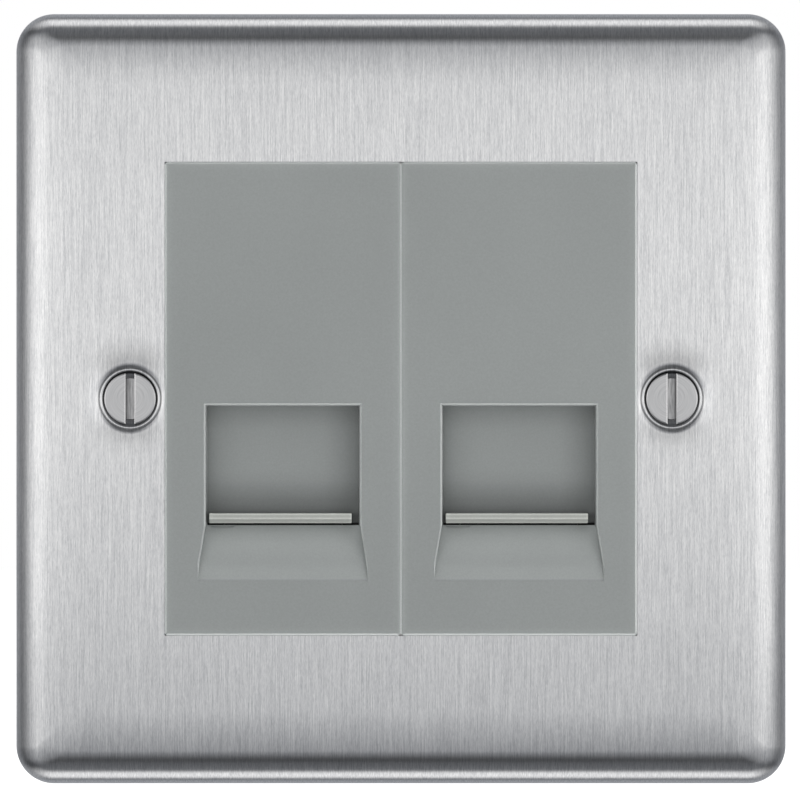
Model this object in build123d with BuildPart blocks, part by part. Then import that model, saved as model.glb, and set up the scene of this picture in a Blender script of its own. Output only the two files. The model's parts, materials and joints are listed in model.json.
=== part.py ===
"""Double telephone socket: two shuttered modules in a pressed steel wall plate.

Sizes are in millimetres. The plate stands upright against the wall:
X runs to the right, Z runs up and Y runs into the wall, whose surface is Y = 0.
Depths are given from the front of the plate unless a name says otherwise.
"""

import math
import os

from build123d import *

os.makedirs("parts", exist_ok=True)

# Pressed steel plate
plate_size = 86.0
plate_projection = 6.5
plate_edge_radius = 4.25
sheet_thickness = 0.9
window_clearance = 0.03
window_corner_radius = 0.1

# Fixing screws and the dimples pressed for their heads: a soft lip, a flat rim and a conical seat
fixing_spacing = 60.3
screw_length = 25.0
thread_radius = 1.75
neck_radius = 1.5
head_radius = 2.88
head_sink = 0.15
head_edge = 0.15
slot_width = 1.0
slot_depth = 1.0
tip_chamfer = 0.5
dimple_radius = 4.4
lip_radius = 3.5
lip_depth = 0.12
rim_radius = 3.4
seat_radius = 3.1
seat_depth = 0.35
seat_clearance = 0.03
screw_hole_radius = 1.9
dimple_lip = 0.35

# Small gaps between pieces that are pushed or clipped together
seat_gap = 0.05
frame_clearance = 0.15

# Moulded frame behind the plate
frame_setback = 0.5
frame_wall = 1.6
frame_rib = 1.2
frame_rib_relief = 1.0
frame_rib_offset = 20.0
boss_radius = 3.6
boss_hole_radius = 2.2
clip_width = 8.0
clip_slit = 0.8
clip_reach = 1.0
clip_flat = 0.4
clip_length = 1.5

# Module housing
module_pitch = 26.3
module_gap = 0.03
module_height = 52.7
face_proud = 0.2
face_edge = 0.25
face_corner_radius = 0.1
front_wall = 2.5
flange_height = 57.2
body_inset = 0.6
body_height = 46.0
body_wall = 1.4

# Opening and the ramp that leads up to it from below
opening_width = 17.2
opening_top = -0.68
opening_height = 13.42
opening_draft = 0.15
opening_chamfer = 0.18
ramp_height = 6.2
ramp_depth = 2.4
ramp_flare = 0.85
ramp_bend = 4.2
ramp_bend_flare = 0.7
ramp_backing = 0.6
notch_width = 2.6
notch_depth = 0.25
notch_centre = -6.8

# Sliding shutter with the ridge a plug lifts it by
shutter_clearance = 0.15
shutter_thickness = 1.25
shutter_side_lap = 1.1
shutter_top_lap = 1.68
shutter_foot_gap = 0.25
shutter_travel = 8.5
guide_overrun = 0.5
ridge_length = 15.84
ridge_shift = -0.26
ridge_height = 1.1
ridge_reach = 2.3
ridge_face = 0.6
ridge_lean = 0.12
ridge_undercut = 0.55
ridge_round = 0.12

# Return spring above the shutter
spring_radius = 1.6
spring_wire = 0.2
spring_turns = 4
spring_wall_gap = 0.25
spring_seat_width = 6.0
spring_seat_thickness = 1.2
spring_seat_margin = 0.3
spring_peg_size = 1.6
spring_peg_height = 2.5
shelf_thickness = 1.6

# Jack body with the plug well
jack_width = 22.0
jack_depth = 14.3
jack_top_gap = 0.5
jack_bottom = -18.6
well_width = 12.6
well_height = 7.6
well_depth = 11.5
well_step = 0.2
latch_width = 2.4
latch_catch = 1.1
latch_height = 4.4
latch_catch_start = 1.2
latch_catch_end = 2.6

# Contact carrier and the six bent contact strips
contact_count = 6
contact_pitch = 2.0
contact_width = 0.7
contact_thickness = 0.25
contact_tail = 1.2
contact_rise = 1.6
contact_crest = 9.5
contact_end = 10.9
contact_nose = 1.75
contact_floor_drop = 0.7
contact_base_rise = 0.8
carrier_width = 13.0
carrier_bar = 1.2
carrier_slot = 0.95
carrier_turn = 3.3
carrier_groove = 1.45

# Circuit board and the hooks that hold it
board_thickness = 1.6
board_side_inset = 0.1
board_end_gap = 0.1
board_slot_margin = 0.1
hook_width = 9.0
hook_reach = 0.8
hook_flat = 0.5
hook_length = 1.3

# Wire terminal block and its forked blades
idc_pitch = 3.7
idc_width = 23.4
idc_height = 9.0
idc_depth = 8.5
idc_z = 8.0
idc_slot_width = 1.1
idc_slot_depth = 6.2
idc_lead_in = 0.5
blade_width = 3.0
blade_thickness = 0.5
blade_pocket_gap = 0.12
blade_sink = 1.0
blade_slit = 0.4
blade_slit_depth = 4.2
blade_mouth = 1.2
blade_mouth_depth = 0.7
blade_tail_width = 0.8
blade_tail_out = 1.0

# Levels along Y, from the front of the plate back into the wall box
face_y = -plate_projection
sheet_back_y = face_y + sheet_thickness
module_y = face_y - face_proud
front_wall_y = module_y + front_wall
shutter_y = front_wall_y + shutter_clearance
shutter_back_y = shutter_y + shutter_thickness
jack_y = shutter_back_y + shutter_clearance
jack_back_y = jack_y + jack_depth
board_y = jack_back_y + seat_gap
board_back_y = board_y + board_thickness
idc_y = board_back_y + seat_gap
idc_back_y = idc_y + idc_depth
frame_front_y = sheet_back_y + frame_clearance
frame_floor_y = frame_front_y + frame_wall
frame_back_y = -frame_setback
flange_y = sheet_back_y + seat_gap
spring_y = front_wall_y + spring_wall_gap + spring_radius + spring_wire
spring_rear_y = spring_y + spring_radius + spring_wire + spring_seat_margin

# Heights along Z, from the middle of the plate
opening_bottom = opening_top - opening_height
ramp_foot = opening_bottom - ramp_height
shutter_foot = opening_bottom + shutter_foot_gap
shutter_top = opening_top + shutter_top_lap
spring_seat_bottom = shutter_top - spring_seat_thickness
jack_top = spring_seat_bottom - jack_top_gap
well_floor = opening_bottom + well_step
well_middle = well_floor + well_height / 2
contact_base = jack_bottom + contact_base_rise

# Widths and outlines shared by mating pieces
module_width = module_pitch - module_gap
module_corner_radius = face_edge + face_corner_radius
window_width = module_pitch + module_width + 2 * window_clearance
window_height = module_height + 2 * window_clearance
body_width = module_width - 2 * body_inset
inner_width = body_width - 2 * body_wall
inner_height = body_height - 2 * body_wall
spring_shelf = inner_height / 2 - shelf_thickness
shutter_width = opening_width + 2 * shutter_side_lap
guide_gap = shutter_width + 2 * shutter_clearance
collar_width = module_pitch + module_width + 2 * frame_clearance
collar_height = flange_height + 2 * frame_clearance
frame_size = plate_size - 2 * (sheet_thickness + frame_clearance)
frame_radius = plate_edge_radius - sheet_thickness - frame_clearance
frame_bevel = frame_radius - frame_clearance
seat_line = seat_radius + seat_depth
dimple_back_line = seat_line + sheet_thickness * math.sqrt(2)
dimple_end = seat_line - screw_hole_radius + dimple_lip
contact_offsets = [(i - (contact_count - 1) / 2) * contact_pitch for i in range(contact_count)]
idc_offsets = [(i - (contact_count - 1) / 2) * idc_pitch for i in range(contact_count)]
screw_places = (-fixing_spacing / 2, fixing_spacing / 2)


def upright(y):
    """Plane facing the viewer at the level y: its axes are X and Z."""
    return Plane.XZ.offset(-y)


def screw_section(x):
    """Plane through a screw's axis: its axes are the radius and the depth from the plate's face."""
    return Plane(origin=(x, face_y, 0), x_dir=(1, 0, 0), z_dir=(0, 0, 1))


def screw_axis(x):
    return Axis((x, face_y, 0), (0, 1, 0))


# Steel plate: a dished sheet with rolled edges
with BuildPart() as front_plate:
    with BuildSketch(upright(0)):
        Rectangle(plate_size, plate_size)
    extrude(amount=plate_projection)
    rolled_edges = front_plate.faces().sort_by(Axis.Y)[0].edges()
    corner_edges = front_plate.edges().filter_by(Axis.Y)
    fillet(rolled_edges + corner_edges, plate_edge_radius)
    offset(amount=-sheet_thickness, openings=front_plate.faces().sort_by(Axis.Y)[-1])
    with BuildSketch(upright(face_y)):
        with Locations(*[(x, 0) for x in screw_places]):
            Circle(dimple_radius)
    extrude(amount=-1.5 * sheet_thickness, mode=Mode.SUBTRACT)
    for x in screw_places:
        with BuildSketch(screw_section(x)):
            with BuildLine():
                lip = TangentArc((dimple_radius, 0), (lip_radius, lip_depth), tangent=(-1, 0))
                Polyline(
                    lip @ 1,
                    (rim_radius, seat_depth),
                    (seat_radius, seat_depth),
                    (screw_hole_radius, seat_line - screw_hole_radius),
                    (screw_hole_radius, dimple_end),
                    (dimple_back_line - dimple_end, dimple_end),
                    (dimple_back_line - sheet_thickness, sheet_thickness),
                    (dimple_radius, sheet_thickness),
                    lip @ 0,
                )
            make_face()
        revolve(axis=screw_axis(x))
    with BuildSketch(upright(face_y)):
        RectangleRounded(window_width, window_height, window_corner_radius)
    extrude(amount=-plate_projection, mode=Mode.SUBTRACT)
front_plate.part.label = "front_plate"
export_step(front_plate.part, "parts/front_plate.step")

# Fixing screws: the thread starts at the wall, below it the neck is thinner
with BuildPart() as fixing_screws:
    head_line = seat_line - seat_clearance
    tip = head_sink + screw_length
    for x in screw_places:
        with BuildSketch(screw_section(x)):
            with BuildLine():
                Polyline(
                    (0, head_sink),
                    (head_radius - head_edge, head_sink),
                    (head_radius, head_sink + head_edge),
                    (head_radius, head_line - head_radius),
                    (neck_radius, head_line - neck_radius),
                    (neck_radius, plate_projection),
                    (thread_radius, plate_projection),
                    (thread_radius, tip - tip_chamfer),
                    (thread_radius - tip_chamfer, tip),
                    (0, tip),
                    close=True,
                )
            make_face()
        revolve(axis=screw_axis(x))
    with BuildSketch(upright(face_y + head_sink)):
        with Locations(*[(x, 0) for x in screw_places]):
            Rectangle(slot_width, 3 * head_radius)
    extrude(amount=-slot_depth, mode=Mode.SUBTRACT)
fixing_screws.part.label = "fixing_screws"
export_step(fixing_screws.part, "parts/fixing_screws.step")

# Moulded frame: a tray that fills the plate, with a collar round the modules
with BuildPart() as frame_hollow:
    with BuildSketch(upright(frame_back_y)):
        Rectangle(frame_size - 2 * frame_wall, frame_size - 2 * frame_wall)
    extrude(amount=frame_back_y - frame_floor_y)
    hollow_bevel = frame_bevel - (2 - math.sqrt(2)) * frame_wall
    chamfer(frame_hollow.faces().sort_by(Axis.Y)[0].edges(), hollow_bevel)

with BuildPart() as rear_frame:
    frame_rib_end_y = frame_back_y - frame_rib_relief
    frame_rib_span = frame_size - 2 * (frame_wall - seat_gap)
    module_places = (-module_pitch / 2, module_pitch / 2)
    with BuildSketch(upright(frame_back_y)):
        RectangleRounded(frame_size, frame_size, frame_radius)
    extrude(amount=frame_back_y - frame_front_y)
    chamfer(rear_frame.faces().sort_by(Axis.Y)[0].edges(), frame_bevel)
    add(frame_hollow.part, mode=Mode.SUBTRACT)
    with BuildSketch(upright(frame_front_y + frame_wall / 2)):
        Rectangle(collar_width + 2 * frame_wall, collar_height + 2 * frame_wall)
        with Locations(*[(x, 0) for x in screw_places]):
            Circle(boss_radius)
    extrude(amount=-(frame_back_y - frame_front_y - frame_wall / 2))
    with BuildSketch(upright(frame_floor_y - seat_gap)):
        for x in module_places:
            with Locations((x, 0)):
                Rectangle(frame_rib, frame_rib_span)
        for z in (-frame_rib_offset, frame_rib_offset):
            with Locations((0, z)):
                Rectangle(frame_rib_span, frame_rib)
    extrude(amount=-(frame_rib_end_y - frame_floor_y + seat_gap))
    with BuildSketch(upright(frame_front_y)):
        Rectangle(collar_width, collar_height)
    extrude(amount=-plate_projection, mode=Mode.SUBTRACT)
    with BuildSketch(upright(frame_front_y)):
        with Locations(*[(x, 0) for x in screw_places]):
            Circle(dimple_back_line - sheet_thickness + frame_clearance)
    extrude(amount=-(face_y + dimple_end + frame_clearance - frame_front_y), mode=Mode.SUBTRACT)
    with BuildSketch(upright(frame_front_y)):
        with Locations(*[(x, 0) for x in screw_places]):
            Circle(boss_hole_radius)
    extrude(amount=-plate_projection, mode=Mode.SUBTRACT)
    # Slits on both sides of each clip let it spring back
    with BuildSketch(upright(frame_floor_y)):
        for x in module_places:
            for edge in (-1, 1):
                for end in (-1, 1):
                    slit_x = x + edge * (clip_width + clip_slit) / 2
                    slit_z = end * (collar_height + frame_wall) / 2
                    with Locations((slit_x, slit_z)):
                        Rectangle(clip_slit, frame_wall)
    extrude(amount=-plate_projection, mode=Mode.SUBTRACT)
    # Clip noses reach in behind the flanges of the modules
    for x in module_places:
        for end in (-1, 1):
            clip_y = front_wall_y + seat_gap
            clip_root = end * (collar_height / 2 + seat_gap)
            clip_tip = end * (collar_height / 2 - clip_reach)
            with BuildSketch(Plane.YZ.offset(x)):
                with BuildLine():
                    Polyline(
                        (clip_y, clip_root),
                        (clip_y, clip_tip),
                        (clip_y + clip_flat, clip_tip),
                        (clip_y + clip_length, clip_root),
                        close=True,
                    )
                make_face()
            extrude(amount=clip_width / 2, both=True)
rear_frame.part.label = "rear_frame"
export_step(rear_frame.part, "parts/rear_frame.step")

# Space above the ramp, flared towards its foot
with BuildPart() as ramp_space:
    with BuildSketch(upright(module_y)):
        half = opening_width / 2
        with BuildLine():
            Polyline(
                (-half, opening_bottom),
                (half, opening_bottom),
                (half + ramp_bend_flare, opening_bottom - ramp_bend),
                (half + ramp_flare, ramp_foot),
                (-half - ramp_flare, ramp_foot),
                (-half - ramp_bend_flare, opening_bottom - ramp_bend),
                close=True,
            )
        make_face()
    extrude(amount=-front_wall)
    with BuildSketch(Plane.YZ):
        with BuildLine():
            Polyline(
                (module_y, ramp_foot),
                (module_y, opening_bottom),
                (module_y + ramp_depth, opening_bottom),
                close=True,
            )
        make_face()
    extrude(amount=module_width / 2, both=True, mode=Mode.INTERSECT)

# Module housing: face, flange, rear walls and the guides for the shutter
with BuildPart() as front_housing:
    with BuildSketch(upright(module_y)):
        RectangleRounded(module_width, module_height, module_corner_radius)
    extrude(amount=-front_wall)
    chamfer(front_housing.faces().sort_by(Axis.Y)[0].edges(), face_edge)
    with BuildSketch(upright(flange_y)):
        Rectangle(module_width, flange_height)
    extrude(amount=-(front_wall_y - flange_y))
    with BuildSketch(upright(front_wall_y)):
        Rectangle(body_width, body_height)
        Rectangle(inner_width, inner_height, mode=Mode.SUBTRACT)
    extrude(amount=-(jack_back_y - front_wall_y))
    # Thick wall behind the ramp; its top is the sill below the shutter
    with BuildSketch(upright(front_wall_y)):
        with Locations((0, opening_bottom)):
            Rectangle(inner_width, ramp_height + ramp_backing, align=(Align.CENTER, Align.MAX))
    extrude(amount=-(shutter_back_y - front_wall_y))
    # Guides at both sides of the shutter, with a stop at the foot of each
    guide_top = shutter_top + shutter_travel + guide_overrun
    guide_width = (inner_width - guide_gap) / 2
    stop_width = (inner_width - shutter_width) / 2 + shutter_side_lap / 2
    stop_height = shutter_foot_gap - seat_gap
    with BuildSketch(upright(front_wall_y)):
        for edge, side in ((-1, Align.MIN), (1, Align.MAX)):
            with Locations((edge * inner_width / 2, opening_bottom)):
                Rectangle(guide_width, guide_top - opening_bottom, align=(side, Align.MIN))
                Rectangle(stop_width, stop_height, align=(side, Align.MIN))
    extrude(amount=-(shutter_back_y - front_wall_y))
    # Shelf with a peg that the top of the spring sits on
    with BuildSketch(upright(front_wall_y)):
        with Locations((0, spring_shelf)):
            Rectangle(spring_seat_width, shelf_thickness, align=(Align.CENTER, Align.MIN))
    extrude(amount=-(spring_rear_y - front_wall_y))
    with BuildSketch(Plane.XY.offset(spring_shelf)):
        with Locations((0, spring_y)):
            Rectangle(spring_peg_size, spring_peg_size)
    extrude(amount=-spring_peg_height)
    # Hooks at the top and the bottom that hold the circuit board
    for end in (-1, 1):
        hook_outside = end * body_height / 2
        hook_inside = end * inner_height / 2
        hook_tip = end * (inner_height / 2 - hook_reach)
        hook_end_y = board_back_y + seat_gap + hook_length
        with BuildSketch(Plane.YZ):
            with BuildLine():
                Polyline(
                    (jack_back_y, hook_outside),
                    (hook_end_y, hook_outside),
                    (hook_end_y, hook_inside),
                    (board_back_y + seat_gap + hook_flat, hook_tip),
                    (board_back_y + seat_gap, hook_tip),
                    (board_back_y + seat_gap, hook_inside),
                    (jack_back_y, hook_inside),
                    close=True,
                )
            make_face()
        extrude(amount=hook_width / 2, both=True)
    # Opening, narrower towards the shutter
    with BuildSketch(upright(module_y)):
        with Locations((0, opening_bottom)):
            Rectangle(opening_width, opening_height, align=(Align.CENTER, Align.MIN))
    with BuildSketch(upright(front_wall_y)):
        with Locations((0, opening_bottom)):
            Rectangle(
                opening_width - 2 * opening_draft,
                opening_height - opening_draft,
                align=(Align.CENTER, Align.MIN),
            )
    loft(mode=Mode.SUBTRACT)
    add(ramp_space.part, mode=Mode.SUBTRACT)
    # Light chamfer round the mouth of the opening; it fades out where the ramp is no deeper than itself
    chamfer_rise = opening_chamfer * ramp_height / ramp_depth
    chamfer_end_flare = ramp_flare - (ramp_flare - ramp_bend_flare) * chamfer_rise / (ramp_height - ramp_bend)
    with BuildSketch(upright(module_y)):
        half = opening_width / 2 + opening_chamfer
        end_half = opening_width / 2 + chamfer_end_flare
        with BuildLine():
            Polyline(
                (-half, opening_top + opening_chamfer),
                (half, opening_top + opening_chamfer),
                (half, opening_bottom),
                (half + ramp_bend_flare, opening_bottom - ramp_bend),
                (end_half, ramp_foot + chamfer_rise),
                (-end_half, ramp_foot + chamfer_rise),
                (-half - ramp_bend_flare, opening_bottom - ramp_bend),
                (-half, opening_bottom),
                close=True,
            )
        make_face()
    extrude(amount=-opening_chamfer, taper=45, mode=Mode.SUBTRACT)
    # Shallow notch in the top edge of the ramp
    with BuildSketch(upright(module_y)):
        with Locations((notch_centre, opening_bottom)):
            Rectangle(notch_width, notch_depth, align=(Align.CENTER, Align.MAX))
    extrude(amount=-front_wall, mode=Mode.SUBTRACT)

# Shutter: a flat panel, the ridge along its foot and the seat for the spring
with BuildPart() as shutter:
    with BuildSketch(upright(shutter_y)):
        with Locations((0, shutter_foot)):
            Rectangle(shutter_width, shutter_top - shutter_foot, align=(Align.CENTER, Align.MIN))
    extrude(amount=-shutter_thickness)
    ridge_front_y = shutter_y - ridge_reach
    ridge_top = shutter_foot + ridge_height
    with BuildSketch(Plane.YZ.offset(ridge_shift)):
        with BuildLine():
            Polyline(
                (shutter_y, shutter_foot),
                (ridge_front_y + ridge_undercut, shutter_foot),
                (ridge_front_y, ridge_top - ridge_face),
                (ridge_front_y + ridge_lean, ridge_top),
                (shutter_y, ridge_top),
                close=True,
            )
        make_face()
    extrude(amount=ridge_length / 2, both=True)
    ridge_edges = shutter.edges().filter_by(Axis.X).group_by(Axis.Y)[0:2]
    fillet([edge for group in ridge_edges for edge in group], ridge_round)
    with BuildSketch(upright(shutter_y)):
        with Locations((0, shutter_top)):
            Rectangle(spring_seat_width, spring_seat_thickness, align=(Align.CENTER, Align.MAX))
    extrude(amount=-(spring_rear_y - shutter_y))
    with BuildSketch(Plane.XY.offset(shutter_top)):
        with Locations((0, spring_y)):
            Rectangle(spring_peg_size, spring_peg_size)
    extrude(amount=spring_peg_height)

# Return spring between the shutter's seat and the shelf
with BuildPart() as shutter_spring:
    coil_start = shutter_top + spring_wire + seat_gap
    coil_height = spring_shelf - shutter_top - 2 * (spring_wire + seat_gap)
    with BuildLine() as coil:
        Helix(coil_height / spring_turns, coil_height, spring_radius, center=(0, spring_y, coil_start))
    with BuildSketch(Plane(origin=coil.line @ 0, z_dir=coil.line % 0)):
        RegularPolygon(spring_wire, 4)
    sweep(path=coil.line, is_frenet=True)

# Jack body: walls and roof round the plug well, with a catch for the plug's latch
with BuildPart() as jack_body:
    with BuildSketch(upright(jack_y)):
        with Locations((0, jack_bottom)):
            Rectangle(jack_width, jack_top - jack_bottom, align=(Align.CENTER, Align.MIN))
    extrude(amount=-jack_depth)
    with BuildSketch(upright(jack_y)):
        with Locations((0, well_floor)):
            Rectangle(well_width, well_height, align=(Align.CENTER, Align.MIN))
        with Locations((well_width / 2, well_middle)):
            Rectangle(2 * latch_catch, latch_height)
    extrude(amount=-well_depth, mode=Mode.SUBTRACT)
    with BuildSketch(upright(jack_y)):
        with Locations((well_width / 2, well_middle)):
            Rectangle(2 * latch_width, latch_height)
    extrude(amount=-latch_catch_start, mode=Mode.SUBTRACT)
    with BuildSketch(upright(jack_y + latch_catch_end)):
        with Locations((well_width / 2, well_middle)):
            Rectangle(2 * latch_width, latch_height)
    extrude(amount=-(well_depth - latch_catch_end), mode=Mode.SUBTRACT)
    with BuildSketch(upright(jack_y)):
        with Locations((0, jack_bottom)):
            Rectangle(
                carrier_width + 2 * frame_clearance,
                well_floor - jack_bottom,
                align=(Align.CENTER, Align.MIN),
            )
    extrude(amount=-jack_depth, mode=Mode.SUBTRACT)

# Contact carrier: the floor of the plug well, grooved for the contacts
with BuildPart() as contact_carrier:
    carrier_top = well_floor - seat_gap
    with BuildSketch(upright(jack_y)):
        with Locations((0, jack_bottom)):
            Rectangle(carrier_width, carrier_top - jack_bottom, align=(Align.CENTER, Align.MIN))
    extrude(amount=-jack_depth)
    with BuildSketch(upright(jack_y + carrier_bar)):
        with Locations(*[(x, jack_bottom) for x in contact_offsets]):
            Rectangle(carrier_slot, carrier_top - jack_bottom, align=(Align.CENTER, Align.MIN))
    extrude(amount=-(carrier_turn - carrier_bar), mode=Mode.SUBTRACT)
    with BuildSketch(upright(jack_y + carrier_bar)):
        with Locations(*[(x, jack_bottom) for x in contact_offsets]):
            Rectangle(carrier_slot, carrier_groove, align=(Align.CENTER, Align.MIN))
    extrude(amount=-jack_depth, mode=Mode.SUBTRACT)
    with BuildSketch(upright(jack_y + carrier_bar)):
        with Locations(*[(x, carrier_top) for x in contact_offsets]):
            Rectangle(carrier_slot, carrier_groove, align=(Align.CENTER, Align.MAX))
    extrude(amount=-(well_depth - carrier_bar), mode=Mode.SUBTRACT)

# Contact: a strip from the circuit board that turns back up into the plug well
contacts = []
for x in contact_offsets:
    with BuildPart() as contact:
        with BuildSketch(Plane.YZ.offset(x)):
            with BuildLine():
                Polyline(
                    (board_back_y + contact_tail, contact_base),
                    (jack_y + contact_nose, contact_base),
                    (jack_y + contact_nose, well_floor - contact_floor_drop),
                    (jack_y + contact_crest, well_floor + contact_rise),
                    (jack_y + contact_end, well_floor),
                )
            trace(line_width=contact_thickness)
        extrude(amount=contact_width / 2, both=True)
    contacts.append(contact.part)

# Circuit board with slots for the contacts and the blades
with BuildPart() as circuit_board:
    board_width = body_width - 2 * board_side_inset
    board_height = inner_height - 2 * board_end_gap
    slot_play = 2 * board_slot_margin
    with BuildSketch(upright(board_y)):
        Rectangle(board_width, board_height)
        with Locations(*[(x, contact_base) for x in contact_offsets]):
            Rectangle(contact_width + slot_play, contact_thickness + slot_play, mode=Mode.SUBTRACT)
        with Locations(*[(x, idc_z) for x in idc_offsets]):
            Rectangle(
                blade_tail_width + slot_play,
                blade_thickness + slot_play,
                rotation=45,
                mode=Mode.SUBTRACT,
            )
    extrude(amount=-board_thickness)

# Terminal block: a comb whose slots take one wire each
with BuildPart() as idc_block:
    with BuildSketch(upright(idc_y)):
        with Locations((0, idc_z)):
            Rectangle(idc_width, idc_height)
    extrude(amount=-idc_depth)
    slot_floor_y = idc_back_y - idc_slot_depth
    slot_half = idc_slot_width / 2
    for x in idc_offsets:
        with BuildSketch(Plane.XY.offset(idc_z)):
            with BuildLine():
                Polyline(
                    (x - slot_half, slot_floor_y),
                    (x + slot_half, slot_floor_y),
                    (x + slot_half, idc_back_y - idc_lead_in),
                    (x + slot_half + idc_lead_in, idc_back_y),
                    (x - slot_half - idc_lead_in, idc_back_y),
                    (x - slot_half, idc_back_y - idc_lead_in),
                    close=True,
                )
            make_face()
        extrude(amount=idc_height, both=True, mode=Mode.SUBTRACT)
    with BuildSketch(upright(idc_y)):
        with Locations(*[(x, idc_z) for x in idc_offsets]):
            Rectangle(
                blade_width + 2 * blade_pocket_gap,
                blade_thickness + 2 * blade_pocket_gap,
                rotation=45,
            )
    extrude(amount=-idc_depth, mode=Mode.SUBTRACT)

# Terminal blade: forked at the back for the wire, with a tail through the board
idc_terminals = []
for x in idc_offsets:
    with BuildPart() as idc_terminal:
        blade_end_y = idc_back_y - blade_sink
        blade_start_y = idc_y + seat_gap
        blade_plane = Plane(origin=(x, 0, idc_z), x_dir=(1, 0, 1), z_dir=(-1, 0, 1))
        with BuildSketch(blade_plane):
            with BuildLine():
                Polyline(
                    (-blade_tail_width / 2, board_y - blade_tail_out),
                    (blade_tail_width / 2, board_y - blade_tail_out),
                    (blade_tail_width / 2, blade_start_y),
                    (blade_width / 2, blade_start_y),
                    (blade_width / 2, blade_end_y),
                    (blade_mouth / 2, blade_end_y),
                    (blade_slit / 2, blade_end_y - blade_mouth_depth),
                    (blade_slit / 2, blade_end_y - blade_slit_depth),
                    (-blade_slit / 2, blade_end_y - blade_slit_depth),
                    (-blade_slit / 2, blade_end_y - blade_mouth_depth),
                    (-blade_mouth / 2, blade_end_y),
                    (-blade_width / 2, blade_end_y),
                    (-blade_width / 2, blade_start_y),
                    (-blade_tail_width / 2, blade_start_y),
                    close=True,
                )
            make_face()
        extrude(amount=blade_thickness / 2, both=True)
    idc_terminals.append(idc_terminal.part)

# The two modules are alike and stand side by side
module_pieces = {
    "front_housing": front_housing.part,
    "shutter": shutter.part,
    "shutter_spring": shutter_spring.part,
    "jack_body": jack_body.part,
    "contact_carrier": contact_carrier.part,
    "circuit_board": circuit_board.part,
    "idc_block": idc_block.part,
}
for number, piece in enumerate(contacts, start=1):
    module_pieces[f"contact_{number}"] = piece
for number, piece in enumerate(idc_terminals, start=1):
    module_pieces[f"idc_terminal_{number}"] = piece

for side, module_x in (("left", -module_pitch / 2), ("right", module_pitch / 2)):
    for name, piece in module_pieces.items():
        placed = piece.moved(Location((module_x, 0, 0)))
        placed.label = f"{side}_{name}"
        export_step(placed, f"parts/{side}_{name}.step")
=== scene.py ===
"""Looks of the double telephone socket: a brushed steel plate with two grey shuttered modules.

Lengths are in metres, in the frame of the solids: X to the right, Y into the wall, Z up.
"""

import json
import math

import bmesh
import bpy
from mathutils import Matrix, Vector

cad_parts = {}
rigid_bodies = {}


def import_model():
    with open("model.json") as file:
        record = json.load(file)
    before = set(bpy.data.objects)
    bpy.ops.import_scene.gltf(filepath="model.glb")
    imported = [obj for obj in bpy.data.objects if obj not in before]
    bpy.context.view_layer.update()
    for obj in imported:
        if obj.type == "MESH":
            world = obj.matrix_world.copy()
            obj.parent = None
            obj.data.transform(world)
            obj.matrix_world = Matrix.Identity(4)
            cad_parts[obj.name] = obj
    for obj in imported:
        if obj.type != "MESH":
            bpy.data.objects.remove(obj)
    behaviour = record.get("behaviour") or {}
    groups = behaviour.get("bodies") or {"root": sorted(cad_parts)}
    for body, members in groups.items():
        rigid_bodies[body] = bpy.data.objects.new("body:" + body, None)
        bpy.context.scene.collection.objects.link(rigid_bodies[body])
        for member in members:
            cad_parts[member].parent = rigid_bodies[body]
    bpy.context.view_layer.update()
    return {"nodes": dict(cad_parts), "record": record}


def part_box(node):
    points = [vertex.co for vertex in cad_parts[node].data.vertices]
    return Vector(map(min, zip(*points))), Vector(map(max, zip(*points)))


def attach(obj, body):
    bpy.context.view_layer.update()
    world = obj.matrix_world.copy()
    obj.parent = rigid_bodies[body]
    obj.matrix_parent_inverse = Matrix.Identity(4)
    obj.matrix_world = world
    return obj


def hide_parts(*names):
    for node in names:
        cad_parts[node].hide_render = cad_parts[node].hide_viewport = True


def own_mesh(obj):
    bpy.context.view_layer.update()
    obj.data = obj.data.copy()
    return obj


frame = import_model()
cad_nodes = frame["nodes"]

MM = 0.001
SIDES = ("left", "right")

# Steel plate
plate_low, plate_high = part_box("front_plate")
PLATE_HALF = plate_high.x
FACE_Y = plate_low.y
SHEET = 0.9 * MM
ROLL_RADIUS = 4.25 * MM
ROLL_STEPS = 40
CROWN_START = 8.4 * MM
CROWN_SLOPE = math.radians(6)
CROWN_POWER = 1.15
CROWN_STEPS = 16
INNER_CORNER = 1.9 * MM
CORNER_STEPS = 24
WINDOW_HALF_WIDTH = 26.29 * MM
WINDOW_HALF_HEIGHT = 26.355 * MM
WINDOW_CORNER = 0.1 * MM
WINDOW_CORNER_STEPS = 3
MERGE_REACH = 0.001 * MM

# Screws and the dimples pressed for them
SCREW_X = 30.15 * MM
DIMPLE_RADIUS = 4.4 * MM
LIP_RADIUS = 3.5 * MM
LIP_SLOPE = math.radians(35)
LIP_POWER = 2.4
RIM_RADIUS = 3.4 * MM
RIM_CROWN = 0.05 * MM
SEAT_RADIUS = 3.1 * MM
SEAT_DEPTH = 0.35 * MM
SCREW_HOLE_RADIUS = 1.9 * MM
HOLE_COLLAR = 0.35 * MM
DIMPLE_STEPS = 96
LIP_STEPS = 14
RIM_STEPS = 6
HEAD_RADIUS = 2.88 * MM
HEAD_SINK = 0.15 * MM
HEAD_EDGE_WIDTH = 0.22 * MM
HEAD_EDGE_DEPTH = 0.12 * MM
HEAD_EDGE_STEPS = 6
SEAT_CLEARANCE = 0.03 * MM
SLOT_WIDTH = 1.0 * MM
SLOT_DEPTH = 1.0 * MM
SLOT_FLARE = 0.14 * MM
SLOT_FLARE_DEPTH = 0.08 * MM
NECK_RADIUS = 1.5 * MM
THREAD_RADIUS = 1.75 * MM
THREAD_PITCH = 0.6 * MM
THREAD_HEIGHT = 0.32 * MM
THREAD_ROOT_SHARE = 0.2
THREAD_FLANK_SHARE = 0.65
THREAD_STEPS = 40
THREAD_RINGS_PER_TURN = 8
SCREW_LENGTH = 25.0 * MM
TIP_CHAMFER = 0.5 * MM

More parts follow.
